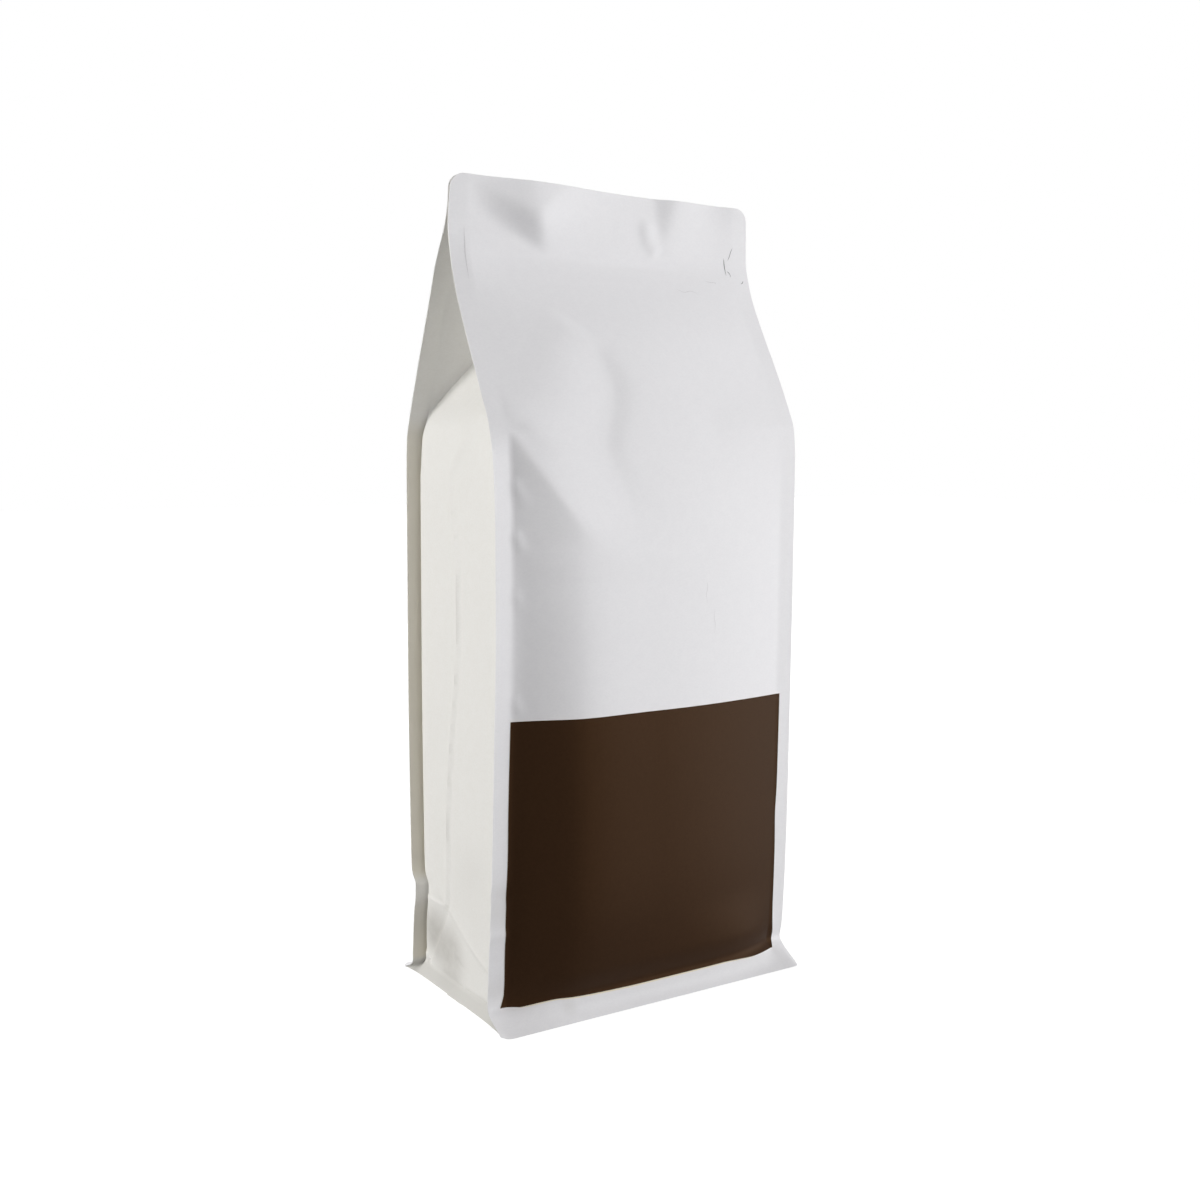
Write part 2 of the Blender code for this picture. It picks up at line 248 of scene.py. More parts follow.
def flareShare(x, height, rear=False):
    top = np.where(rear, through(bag["rearFlareHeight"], x), through(bag["flareHeight"], x))
    return np.clip(1 - height / top, 0.0, 1.0) ** bag["flareCurl"]


# Front panel without its creases and its flared foot
def frontUpright(x, height):
    level = np.maximum(height, bag["skirt"])
    root = bag["root"]
    share = np.clip((x + root) / (2 * root), 0.0, 1.0)
    seal = blend(through(frontPanel["leftSeal"], level), through(frontPanel["rightSeal"], level), share)
    middle = through(frontPanel["middle"], level)
    inside = np.clip(1 - np.abs(x) / root, 0.0, 1.0)
    upper = 1 - (1 - inside) ** through(frontPanel["upperSwell"], level)
    flank = np.maximum(through(frontPanel["flankWidth"], level), 0.01) / root
    edge = 1 - np.maximum(0.0, 1 - flank) ** through(frontPanel["upperSwell"], level)
    reach = np.clip(inside / flank, 0.0, 1.0)
    start = through(frontPanel["flankStart"], level)
    rounding = 1 - (1 - reach ** start) ** through(frontPanel["flankSwell"], level)
    low = edge * rounding
    flanked = (inside < flank) & (level < frontPanel["flankTop"])
    left = np.where(flanked, low, upper)
    beyond = (x + root - flank * root) / frontPanel["facetWidth"]
    crease = np.where(flanked & (x < 0), rounding, np.exp(-2 * np.maximum(0.0, beyond) ** 1.5))
    right = 1 - (1 - inside) ** through(frontPanel["rightSwell"], level)
    swell = np.where(x < 0, left, right)
    turn = through(frontPanel["finTurn"], level) * np.clip((bag["panelHalf"] + x) / bag["seal"], 0.0, 1.0)
    lean = through(frontPanel["finLean"], level) * np.clip((-root - x) / bag["seal"], 0.0, 1.0)
    seal = seal - turn * (1 - share) ** 3 - lean
    y = seal + (middle - seal) * swell + topBow(x, level)
    return y - through(frontPanel["creaseRise"], level) * crease


def frontForm(x, height):
    return blend(frontUpright(x, height), -footEdge(x), flareShare(x, height))


# Nought below the turn and even above it, with a smooth bend of the given width
def bendUp(value, width=1.0):
    return np.logaddexp(0.0, value / width) * width


def facets(x, height):
    total = np.zeros(np.broadcast(x, height).shape)
    for dent in topFacets:
        foot, ridge = through(dent["foot"], height), through(dent["ridge"], height)
        beyond = bendUp(x - ridge, facetEdges["ridgeBend"])
        shape = dent["rise"] * bendUp(x - beyond - foot) * (1 - ease(beyond / dent["fall"]))
        if "cut" in dent:
            (startX, startZ), (endX, endZ) = dent["cut"]
            above = (endX - startX) * (height - startZ) - (endZ - startZ) * (x - beyond - startX)
            above = above / math.hypot(endX - startX, endZ - startZ)
            shape = shape * ease(above / (facetEdges["cutFade"] + facetEdges["cutSpread"] * beyond))
        else:
            shape = shape * ease((height - dent["foot"][0][0]) / facetEdges["lowFade"])
        total += shape
    return total


# All that is pressed into the front panel between its fins
def frontDents(x, height):
    inside = ease((bag["root"] + 1 - np.abs(x)) / 2)
    return (relief(x, height, frontFolds) + facets(x, height)) * inside


def frontY(x, height):
    return frontForm(x, height) - frontDents(x, height) - relief(x, height, finFolds)


# What the sheets behind the front panel take over from its dents, where all of them lie together at the top
def topDents(x, height):
    closed = ease((height - bag["closedFrom"]) / (bag["closedAt"] - bag["closedFrom"]))
    if not np.any(closed > 0):
        return np.zeros(np.broadcast(x, height).shape)
    return frontDents(x, height) * closed


# Back panel
backPanel = {
    "seal": [(8, 38.9), (28, 36.8), (36, 35.0), (41, 34.9), (46, 38.4), (52, 39.0), (122, 39.7),
             (184, 38.8), (222, 38.2), (236, 37.4), (241, 35.9), (264, 26.4), (296, 12.0), (304, 8.7),
             (311, 4.6), (320, -1.0), (330, -4.4), (340, -5.0)],
    "middle": [(8, 43), (20, 46.5), (60, 50.2), (124, 50.9), (200, 46), (222, 42), (239, 37.6), (264, 27.2),
               (296, 12.6), (311, 4.6), (320, -1.0), (330, -4.4), (340, -5.0)],
    "swell": [(8, 8), (40, 5), (124, 3.2), (240, 2.6), (340, 2)],
    "bowFrom": 325,             # the panel takes over the front's bow above this height
    "bowFade": 10,
    "layers": 4.6 * bag["paper"],
    "contact": 2,               # the panel bends smoothly onto the layers within this gap
    "contactBend": 3,
    "rows": 200,
    "columns": 84,
}
backFolds = [
    {"path": [(30, 246), (12, 226), (-4, 214)], "left": 10, "right": 8, "height": -1.0, "ends": (0.3, 0.4)},
    {"path": [(-58, 236), (-40, 222), (-30, 205)], "left": 8, "right": 9, "height": -0.9, "ends": (0.3, 0.4)},
    {"path": [(44, 342), (42, 318)], "left": 7, "right": 4, "height": -0.8, "ends": (0.1, 0.4)},
    {"path": [(-64, 160), (-60, 150)], "left": 4, "right": 4, "height": -0.6, "ends": (0.4, 0.4)},
    {"path": [(65, 188), (61, 180)], "left": 4, "right": 4, "height": -0.6, "ends": (0.4, 0.4)},
]


def backUpright(x, height):
    level = np.maximum(height, bag["skirt"])
    seal = through(backPanel["seal"], level)
    middle = through(backPanel["middle"], level)
    inside = np.clip(1 - np.abs(x) / bag["root"], 0.0, 1.0)
    swell = 1 - (1 - inside) ** through(backPanel["swell"], level)
    y = seal + (middle - seal) * swell
    y = y + relief(x, height, backFolds) * ease((bag["root"] - np.abs(x)) / 2)
    y = y + topBow(x, level) * ease((level - backPanel["bowFrom"]) / backPanel["bowFade"])
    closed = frontUpright(x, level) + backPanel["layers"]
    contact, bend = backPanel["contact"], backPanel["contactBend"]
    gap = y - closed
    near = np.log1p(np.exp(np.minimum(gap, contact) * bend)) / bend
    return closed + np.where(gap > contact, gap, near) - topDents(x, level)


def backY(x, height):
    return blend(backUpright(x, height), footEdge(x), flareShare(x, height, True))


# Side gussets: the section of each is a flank, a side and a flank, which fold inwards above the shoulder
gusset = {
    "depth": [(219, -4.5), (239, -3.0), (254, 5.4), (275, 20.8), (296, 36)],
    "frontSquareness": 4,
    "rearSquareness": 14,
    "tipHeight": 296.0,
    "lowFlank": 0.3,
    "leastFlank": 0.03,
    "foldSpan": 2 * 40,         # the bag's depth from which the flanks fold in
    "layers": 2.1 * bag["paper"],
    "shutFrom": 296,            # the halves come to lie against the panels between these heights
    "shutAt": 308,
    "bowTop": 300,
    "edgeFade": 9,              # how fast the creases fade towards the seals, and where they stop
    "creaseTop": bag["shoulder"] + 25,
    "footInset": 0.4,
    "footCurve": 6,
    "flankColumns": 24,
    "sideColumns": 36,
    "finColumns": 5,
    "rows": 205,
    "footRows": (42.0, 71),
    "seam": (4.2, 5.9),         # the crease between the side and its part of the skirt, in front and behind
}

# Creases of the left gusset: paths in (y, height), outwards where the height is positive
leftFolds = [
    # the middle line, its two branches at the shoulder and its fork over the foot
    {"path": [(4, 221), (0.5, 207), (-3, 181), (-2.5, 152), (5.5, 102), (8.2, 75), (10, 36)],
     "left": 6, "right": 1.8, "height": 1.1, "sharp": 1.0, "ends": (0.02, 0.01)},
    {"path": [(4, 221), (-12, 238), (-26, 252)], "left": 4, "right": 7, "height": 1.1, "sharp": 0.6,
     "ends": (0.02, 0.2)},
    {"path": [(10, 36.2), (25.5, 13.7), (31, 6)], "left": 11, "right": 3.0, "height": -1.7, "sharp": 0.7,
     "ends": (0.1, 0.02)},
    {"path": [(10, 36.2), (-10, 25.5), (-25, 18), (-33, 13)], "left": 1.2, "right": 5, "height": 0.45,
     "sharp": 1.0, "ends": (0.05, 0.1)},
    {"path": [(34, 36), (10, 36.2)], "left": 8, "right": 1.2, "height": 0.45, "sharp": 1.0,
     "ends": (0.02, 0.2)},
    # the crease over the skirt
    {"path": [(36, 6.1), (0, 5.5), (-34, 4.6)], "left": 1.0, "right": 2.4, "height": -0.4, "sharp": 1.0,
     "ends": (0.02, 0.02)},
    # dents inside the triangle over the foot
    {"path": [(3, 18), (-1, 15.4), (-6, 13.4)], "left": 2.6, "right": 0.9, "height": -0.45, "sharp": 1.0,
     "ends": (0.3, 0.3)},
    {"path": [(12, 22), (4, 18)], "left": 5, "right": 4, "height": -0.5, "ends": (0.4, 0.4)},
    {"path": [(18, 9.5), (-4, 9.5)], "left": 3, "right": 3.5, "height": 0.5, "ends": (0.3, 0.4)},
    # the doubled layer of the skirt, with its slanted edge
    {"path": [(13.5, -1), (-7, 6.4)], "left": 16, "right": 0.5, "height": 0.45, "sharp": 0.3,
     "ends": (0.0, 0.1)},
    # soft dents of the filled side
    {"path": [(14, 186), (8, 176)], "left": 8, "right": 5, "height": -0.5, "ends": (0.4, 0.4)},
    {"path": [(-14, 165), (-8, 152)], "left": 8, "right": 8, "height": -0.4, "ends": (0.4, 0.4)},
    {"path": [(22, 120), (18, 84)], "left": 9, "right": 8, "height": -0.5, "ends": (0.4, 0.4)},
    {"path": [(-16, 62), (-14, 44)], "left": 7, "right": 8, "height": -0.4, "ends": (0.4, 0.4)},
]
rightFolds = [
    {"path": [(-2, 222), (1, 200), (3, 160), (0, 110), (-3, 70), (-2, 38)], "left": 3, "right": 3,
     "height": 0.5, "sharp": 1.0, "ends": (0.02, 0.02)},
    {"path": [(-2, 37), (-20, 16), (-31, 6)], "left": 1.2, "right": 8, "height": -0.8, "sharp": 1.0,
     "ends": (0.1, 0.05)},
    {"path": [(-2, 37), (18, 25), (33, 13)], "left": 5, "right": 1.2, "height": 0.45, "sharp": 1.0,
     "ends": (0.1, 0.05)},
    {"path": [(-12, 190), (-6, 178)], "left": 8, "right": 6, "height": -0.5, "ends": (0.4, 0.4)},
    {"path": [(12, 128), (8, 96)], "left": 9, "right": 8, "height": -0.5, "ends": (0.4, 0.4)},
]


# How far a gusset folds in from the seal's root, negative where it swells out
def foldDepth(height):
    return through(gusset["depth"], height)


# Inward depth and y of a gusset at one height, at a share from the front root (0) to the back root (1)
def gussetRow(side, height, shares):
    rootX = side * bag["root"]
    layers = gusset["layers"]
    front = float(frontUpright(np.array(rootX), np.array(height))) + layers
    back = float(backUpright(np.array(rootX), np.array(height))) - layers
    depth = float(foldDepth(np.array(height)))
    inHalf = 1 - np.abs(2 * shares - 1)
    rise = (height - bag["shoulder"]) / (gusset["tipHeight"] - bag["shoulder"])
    fold = 1 - (1 - rise) * gusset["foldSpan"] / (back - front)
    low = gusset["lowFlank"] * (1 - (height / bag["shoulder"]) ** 4)
    flank = min(1 - gusset["leastFlank"], max(gusset["leastFlank"], fold, low))
    knee = gusset["flankColumns"] / (gusset["flankColumns"] + gusset["sideColumns"] / 2)
    place = np.where(inHalf < knee, inHalf / knee * flank, blend(flank, 1.0, (inHalf - knee) / (1 - knee)))
    if depth <= 0:
        squareness = np.where(shares < 0.5, gusset["frontSquareness"], gusset["rearSquareness"])
        inward = depth * (1 - (1 - place) ** squareness)
    else:
        inward = depth * np.minimum(1.0, place / flank)
    # where the top is shut, both halves lie against the panels
    shut = float(ease(np.array((height - gusset["shutFrom"]) / (gusset["shutAt"] - gusset["shutFrom"]))))
    if shut > 0:
        x = side * (bag["root"] - inward)
        level = np.full(x.shape, height)
        front = blend(front, frontUpright(x, level) + layers, shut)
        back = blend(back, backUpright(x, level) + topDents(x, level) - layers, shut)
    middle = (front + back) / 2
    y = np.where(shares < 0.5, blend(front, middle, place), blend(back, middle, place))
    return inward, y - topDents(side * (bag["root"] - inward), np.full(y.shape, height))


# Left side is -1 and right side is 1. The sheet runs on into the fins, against the inside of both panels.
def gussetPoints(side, folds, heights):
    count = 2 * gusset["flankColumns"] + gusset["sideColumns"]
    shares = np.arange(count + 1) / count
    layers = gusset["layers"]
    rows = []
    for height in heights:
        level = max(height, bag["skirt"])
        inward, y = gussetRow(side, level, shares)
        if level < gusset["bowTop"]:
            y = y + topBow(bag["root"] - inward, np.array(level)) * (inward > 0)
        edge = ease(shares * gusset["edgeFade"]) * ease((1 - shares) * gusset["edgeFade"])
        proud = relief(y, np.full(y.shape, height), folds) * edge * (level < gusset["creaseTop"])
        half = float(halfWidth(np.array(level)))
        fin = np.linspace(half, bag["root"], gusset["finColumns"], endpoint=False)
        bend = relief(side * fin, np.full(fin.shape, level), finFolds)
        frontFin = frontUpright(side * fin, np.full(fin.shape, level)) + layers - bend
        backFin = [float(backUpright(np.array(side * at), np.array(level))) - layers for at in fin]
        row = [(at, depth) for at, depth in zip(fin, frontFin)]
        row += list(zip(bag["root"] - inward, y))
        row += [(at, depth) for at, depth in zip(fin[::-1], backFin[::-1])]
        row = np.array(row)
        flare = flareShare(side * row[:, 0], np.full(len(row), height), row[:, 1] > 0)
        if np.any(flare > 0):
            widest = footHalfWidth - gusset["footInset"]
            low = footHalfDepth - bag["cornerTurn"]
            foot = np.linspace(-low, low, len(row))
            outward = bag["waist"] + (widest - bag["waist"]) * np.abs(foot / low) ** gusset["footCurve"]
            outward = np.minimum(outward, widest)
            sharpFlare = np.maximum(0.0, 1 - height / np.linspace(*gusset["seam"], len(row)))
            edges = np.zeros(len(row))
            edges[len(fin):len(fin) + len(edge)] = edge
            share = blend(flare, sharpFlare, edges)
            row[:, 0] = blend(row[:, 0], outward, share)
            row[:, 1] = blend(row[:, 1], foot, share)
        row[len(fin):len(fin) + len(proud), 0] += proud
        rows.append(np.stack([side * row[:, 0], row[:, 1], np.full(len(row), height)], 1))
    points = np.array(rows)
    return points[:, ::-1] if side < 0 else points


# Heights of a sheet's rows, closer round the foot and at the rounded top corners
def rowHeights(count, footTop, footCount):
    skirt = np.linspace(0.0, footTop, footCount)
    straight = np.linspace(footTop, bagHeight - bag["cornerRadius"], count)[1:]
    angles = np.linspace(0.0, math.pi / 2, bag["cornerRows"])[1:]
    return np.concatenate([skirt, straight, bagHeight + bag["cornerRadius"] * (np.sin(angles) - 1)])


# A panel's points: across from fin to fin, with a column on each seal line
def panelPoints(surface, rows, columns):
    heights = rowHeights(rows, *bag["footRows"])
    inner = np.linspace(-1, 1, columns + 1)
    fin = np.linspace(0, 1, bag["finColumns"])
    points = []
    for height in heights:
        half = float(halfWidth(np.array(height)))
        root = half - bag["seal"]
        left = blend(-half, -root, fin[:-1])
        x = np.concatenate([left, root * inner, -left[::-1]])
        z = np.full(x.shape, height)
        x = x * (1 + (footHalfWidth / bag["panelHalf"] - 1) * flareShare(x, z))
        points.append(np.stack([x, surface(x, z), z], 1))
    return np.array(points)


def linked(name, data):
    piece = bpy.data.objects.new(name, data)
    bpy.context.collection.objects.link(piece)
    return piece


def meshPiece(name, points, faces, material):
    data = bpy.data.meshes.new(name)
    data.from_pydata(points, [], faces)
    data.materials.append(material)
    return linked(name, data)


# A sheet of paper from a grid of points: its outer face is the grid, and its thickness goes inwards
def sheet(name, points, thickness, finish, sharpAngle=40, rimFinish=None):
    rows, columns = points.shape[:2]
    index = np.arange(rows * columns).reshape(rows, columns)
    quads = np.stack([index[:-1, :-1], index[:-1, 1:], index[1:, 1:], index[1:, :-1]], -1)
    piece = meshPiece(name, (points.reshape(-1, 3) * mm).tolist(), quads.reshape(-1, 4).tolist(), finish)
    data = piece.data
    solid = piece.modifiers.new("paper", "SOLIDIFY")
    solid.thickness = thickness * mm
    solid.offset = -1.0
    if rimFinish:
        data.materials.append(rimFinish)
        solid.material_offset_rim = 1
    made = bpy.data.meshes.new_from_object(piece.evaluated_get(bpy.context.evaluated_depsgraph_get()))
    piece.modifiers.clear()
    piece.data = made
    # nothing goes below the floor
    places = np.empty(len(made.vertices) * 3)
    made.vertices.foreach_get("co", places)
    places[2::3] = np.maximum(places[2::3], 0.0)
    made.vertices.foreach_set("co", places)
    made.shade_smooth()
    made.set_sharp_from_angle(angle=math.radians(sharpAngle))
    bpy.data.meshes.remove(data)
    made.name = name
    return piece


# A socket's value, so that shader maths reads as an expression
class Signal:
    def __init__(self, finish, socket):
        self.finish = finish
        self.socket = socket

    def join(self, operation, first, second):
        return self.finish.add("ShaderNodeMath", {"operation": operation}, {0: first, 1: second})

    def __add__(self, other):
        return self.join("ADD", self, other)

    def __mul__(self, other):
        return self.join("MULTIPLY", self, other)

    __radd__ = __add__
    __rmul__ = __mul__


class Finish:
    def __init__(self, name):
        self.material = bpy.data.materials.new(name)
        self.material.use_nodes = True
        self.tree = self.material.node_tree
        self.shader = self.tree.nodes["Principled BSDF"]

    def add(self, kind, settings, values, out=0):
        node = self.tree.nodes.new(kind)
        stops = settings.pop("stops", None)
        for key, value in settings.items():
            setattr(node, key, value)
        if stops:
            for element, (place, level) in zip(node.color_ramp.elements, stops):
                element.position = place
                element.color = (level, level, level, 1.0)
        for key, value in values.items():
            self.feed(node.inputs[key], value)
        return Signal(self, node.outputs[out])

    def feed(self, socket, value):
        if isinstance(value, Signal):
            self.tree.links.new(value.socket, socket)
        else:
            socket.default_value = value

    def give(self, name, value):
        self.feed(self.shader.inputs[name], value)

    def noise(self, place, scale, detail=3.0, roughness=0.5):
        values = {"Vector": place, "Scale": scale, "Detail": detail, "Roughness": roughness}
        return self.add("ShaderNodeTexNoise", {}, values)

    def ramp(self, share, low, high):
        return self.add("ShaderNodeValToRGB", {"stops": [(low, 0.0), (high, 1.0)]}, {"Fac": share})

    def mix(self, share, low, high):
        return self.add("ShaderNodeMix", {"data_type": "RGBA"}, {0: share, 6: low, 7: high}, 2)

    def measure(self, operation, values):
        return self.add("ShaderNodeVectorMath", {"operation": operation}, values, "Value")

    # Runs from nought at the start to one at the end
    def between(self, value, start, end, curve="SMOOTHSTEP"):
        values = {"Value": value, "From Min": start, "From Max": end}
        return self.add("ShaderNodeMapRange", {"interpolation_type": curve}, values)

    def place(self):
        return self.add("ShaderNodeTexCoord", {}, {}, "Object")

    def stretch(self, place, scale):
        return self.add("ShaderNodeMapping", {}, {"Vector": place, "Scale": scale})

    def bump(self, height, depth, strength=1.0):
        values = {"Height": height, "Distance": depth * mm, "Strength": strength}
        return self.add("ShaderNodeBump", {}, values)


paperLook = {
    # one white paper, tinted cool on the front and warm on the sides: painted light for the cooler light on the
    # front and the warmer light on the sides
    "front": [(0.80, 0.795, 0.82, 1), (0.85, 0.845, 0.865, 1)],
    "side": [(0.81, 0.80, 0.77, 1), (0.86, 0.855, 0.835, 1)],
    # painted shade: the sides turn darker and warmer inside the rear fins, and darker on the skirt near the
    # floor
    "sideShadeZones": [
        {"along": (0, 1, 0), "span": (33, 38), "tone": (0.79, 0.76, 0.68, 1)},
        {"along": (0, 0, 1), "span": (7, 4), "tone": (0.68, 0.672, 0.645, 1)},
    ],
    "fibreScale": 900.0,
    "fibreStretch": (1.0, 1.0, 1.6),
    "mottleScale": 260.0,
    "cloudScale": 26.0,
    "roughness": (0.5, 0.16),   # its least, and what the fibres add
    "specular": 0.35,
    "tooth": (0.05, 0.55),      # depth in millimetres and strength
    # grey of the dark spots: painted shade, and on the front's skirt a smudge
    "darkSpotTone": (0.50, 0.485, 0.455, 1),
    # painted shade: dark spots over the foot's triangle and the rear of the side, and a faint one higher up
    # towards the front
    "sideShadeSpots": [
        {"place": (-72, 25, 21), "reach": 19, "strength": 0.7},
        {"place": (-72, 9, 16), "reach": 22, "strength": 0.64},
        {"place": (-72, -12, 52), "reach": 30, "strength": 0.08},
    ],
    # painted shade on the front fin low down, and a grey smudge on the skirt below the label
    "frontShadeAndSmudge": [
        {"place": (-71, -35, 50), "reach": 16, "strength": 0.2},
        {"place": (-71, -36, 14), "reach": 12, "strength": 0.2},
        {"place": (-44, -46, 6), "reach": 6, "strength": 0.2},
    ],
}


# Coated paper: faint fibres and cloudiness in the colour, a fine tooth in the surface. Dark spots, mostly
# painted shade, each have a place, a reach and a strength. Zones of painted shade each have a direction, the
# places along it between which they set in, and a tone.
def paperFinish(name, tones, darkSpots, shadeZones=()):
    paper = Finish(name)
    place = paper.place()
    fibre = paper.noise(paper.stretch(place, paperLook["fibreStretch"]), paperLook["fibreScale"], 5.0, 0.62)
    mottle = paper.noise(place, paperLook["mottleScale"], 4.0, 0.6)
    cloud = paper.noise(place, paperLook["cloudScale"], 2.0)
    share = 0.5 * paper.ramp(fibre, 0.34, 0.66) + 0.3 * paper.ramp(mottle, 0.3, 0.7) + 0.2 * cloud
    tone = paper.mix(share, *tones)
    for shadeZone in shadeZones:
        start, end = shadeZone["span"]
        reach = paper.measure("DOT_PRODUCT", {0: place, 1: shadeZone["along"]})
        tone = paper.mix(paper.between(reach, start * mm, end * mm), tone, shadeZone["tone"])
    # painted shade, and one grey smudge, darken the tone round each spot
    for darkSpot in darkSpots:
        spot = tuple(value * mm for value in darkSpot["place"])
        away = paper.measure("DISTANCE", {0: place, 1: spot})
        near = paper.between(away, darkSpot["reach"] * mm, 0.0, "SMOOTHERSTEP")
        tone = paper.mix(darkSpot["strength"] * near * (0.6 + 0.8 * mottle), tone, paperLook["darkSpotTone"])
    least, more = paperLook["roughness"]
    paper.give("Base Color", tone)
    paper.give("Roughness", least + more * fibre)
    paper.give("Specular IOR Level", paperLook["specular"])
    paper.give("Normal", paper.bump(0.6 * fibre + 0.4 * mottle, *paperLook["tooth"]))
    return paper.material


labelLook = {
    "tones": [(0.029, 0.0145, 0.0082, 1), (0.046, 0.0235, 0.0125, 1)],
    "rim": [(0.76, 0.70, 0.56, 1), (0.84, 0.78, 0.65, 1)],
    "cloudScale": 14.0,
    "roughness": (0.40, 0.12),
    "specular": 0.13,
    "gloss": (1.0, 0.5, 0.16, 1),
    "tooth": (0.05, 0.45),
    # its cut edges, slightly wavy: x at heights on the left and right, heights at x above and below
    "left": [(5, -70.2), (8, -68.9), (12, -67.8), (27, -67.9), (55, -68.0), (69, -67.8), (90, -68.0),
             (126, -67.7)],
    "right": [(5, 67.3), (8, 69.4), (12, 70.0), (18, 69.2), (27, 68.7), (55, 68.3), (69, 67.9), (83, 68.4),
              (124, 68.6)],
    "bottom": [(-70, 6.2), (-62.5, 6.1), (-59, 6.8), (-54.6, 7.7), (-48, 8.5), (-40, 8.1), (-28, 7.7),
               (-8, 7.3), (18, 7.3), (35, 7.3), (44, 6.9), (55, 6.2), (68, 6.1)],
    "top": [(-68, 124.6), (-50, 125.0), (-24, 124.9), (19, 124.2), (69, 123.6)],
    "span": (-68.0, 68.5),      # where its sides lie about, before they follow the edges
    "thickness": 0.18,
    "lift": 0.05,
    # painted highlight below the label's bottom edge
    "edgeHighlight": {"drop": 0.2, "width": 0.7},
    "columns": 150,
    "rows": 130,
}


# Satin print on paper: the paper's tooth shows through under a thin lacquer
def labelFinish():
    ink = Finish("labelPrint")
    place = ink.place()
    fibre = ink.noise(place, paperLook["fibreScale"], 5.0, 0.62)
    mottle = ink.noise(place, paperLook["mottleScale"], 4.0, 0.6)
    cloud = ink.noise(place, labelLook["cloudScale"], 2.0)
    share = 0.35 * ink.ramp(fibre, 0.3, 0.7) + 0.25 * mottle + 0.4 * cloud
    least, more = labelLook["roughness"]
    ink.give("Base Color", ink.mix(share, *labelLook["tones"]))
    ink.give("Roughness", least + more * fibre)
    ink.give("Specular IOR Level", labelLook["specular"])
    ink.give("Specular Tint", labelLook["gloss"])
    ink.give("Normal", ink.bump(0.6 * fibre + 0.4 * mottle, *labelLook["tooth"]))
    return ink.material


# Plain paper tone: the label's cut edge, the painted shade of the cuts and creases, and the painted highlight
# below the label
def plainFinish(name, tones):
    paper = Finish(name)
    fibre = paper.noise(paper.place(), paperLook["fibreScale"], 4.0, 0.6)
    paper.give("Base Color", paper.mix(fibre, *tones))
    paper.give("Roughness", 0.8)
    return paper.material


whitePaper = paperFinish("whitePaper", paperLook["front"], paperLook["frontShadeAndSmudge"])
gussetPaper = paperFinish("gussetPaper", paperLook["side"], paperLook["sideShadeSpots"], paperLook["sideShadeZones"])
print("finishes made")

frontPoints = panelPoints(frontY, frontPanel["rows"], frontPanel["columns"])
frontPiece = sheet("frontPanel", frontPoints, bag["paper"], whitePaper)
backPoints = panelPoints(backY, backPanel["rows"], backPanel["columns"])[:, ::-1]
backPiece = sheet("backPanel", backPoints, bag["paper"], whitePaper)
print("front and back panels made")

sideHeights = rowHeights(gusset["rows"], *gusset["footRows"])
leftPiece = sheet("leftGusset", gussetPoints(-1, leftFolds, sideHeights), bag["paper"], gussetPaper)
rightPiece = sheet("rightGusset", gussetPoints(1, rightFolds, sideHeights), bag["paper"], gussetPaper)
print("gussets made")


# Bottom panel: it hangs from the skirt's inside and rests on the floor in the middle
bottomPanel = {
    "inset": 1.1,
    "cornerCurve": 8,
    "cornerDraw": (0.02, 0.03),
    "groove": 2.2,
    "grooveAt": 7.0,
    "restAt": 15.0,
    "rest": 0.05,
    "columns": 90,
    "rows": 60,
}


def bottomPoints():
    u, v = np.meshgrid(np.linspace(-1, 1, bottomPanel["columns"]), np.linspace(-1, 1, bottomPanel["rows"]))
    corner = np.abs(u) ** bottomPanel["cornerCurve"] * np.abs(v) ** bottomPanel["cornerCurve"]
    drawX, drawY = bottomPanel["cornerDraw"]
    halfX, halfY = bag["waist"] - bottomPanel["inset"], footHalfDepth - bottomPanel["inset"]
    edge = np.minimum(halfX * (1 - np.abs(u)), halfY * (1 - np.abs(v)))
    up = ease(edge / bottomPanel["grooveAt"])
    down = ease((edge - bottomPanel["grooveAt"]) / (bottomPanel["restAt"] - bottomPanel["grooveAt"]))
    x = u * halfX * (1 - drawX * corner)
    y = v * halfY * (1 - drawY * corner)
    z = bottomPanel["rest"] + bottomPanel["groove"] * up * (1 - down)
    return np.stack([x, y, z], -1)[:, ::-1]


bottomPiece = sheet("bottomPanel", bottomPoints(), bag["paper"], whitePaper)
print("bottom panel made")


# Points on the front panel's outside, lifted off it along its slope
def onFront(x, z, away):
    step = 0.25
    slopeX = (frontY(x + step, z) - frontY(x - step, z)) / (2 * step)
    slopeZ = (frontY(x, z + step) - frontY(x, z - step)) / (2 * step)
    away = away / np.sqrt(1 + slopeX ** 2 + slopeZ ** 2)
    return np.stack([x + away * slopeX, frontY(x, z) - away, z + away * slopeZ], -1)


# Label, a thin sheet on the front panel
def labelPoints():
    across, up = np.meshgrid(np.linspace(0, 1, labelLook["columns"]), np.linspace(0, 1, labelLook["rows"]))
    x = blend(*labelLook["span"], across)
    for turn in range(3):       # the edges depend on each other
        z = blend(through(labelLook["bottom"], x), through(labelLook["top"], x), up)
        x = blend(through(labelLook["left"], z), through(labelLook["right"], z), across)
    return onFront(x, z, labelLook["lift"] + labelLook["thickness"])


labelPiece = sheet("labelSheet", labelPoints(), labelLook["thickness"], labelFinish(),
                   rimFinish=plainFinish("labelRim", labelLook["rim"]))
print("label made")
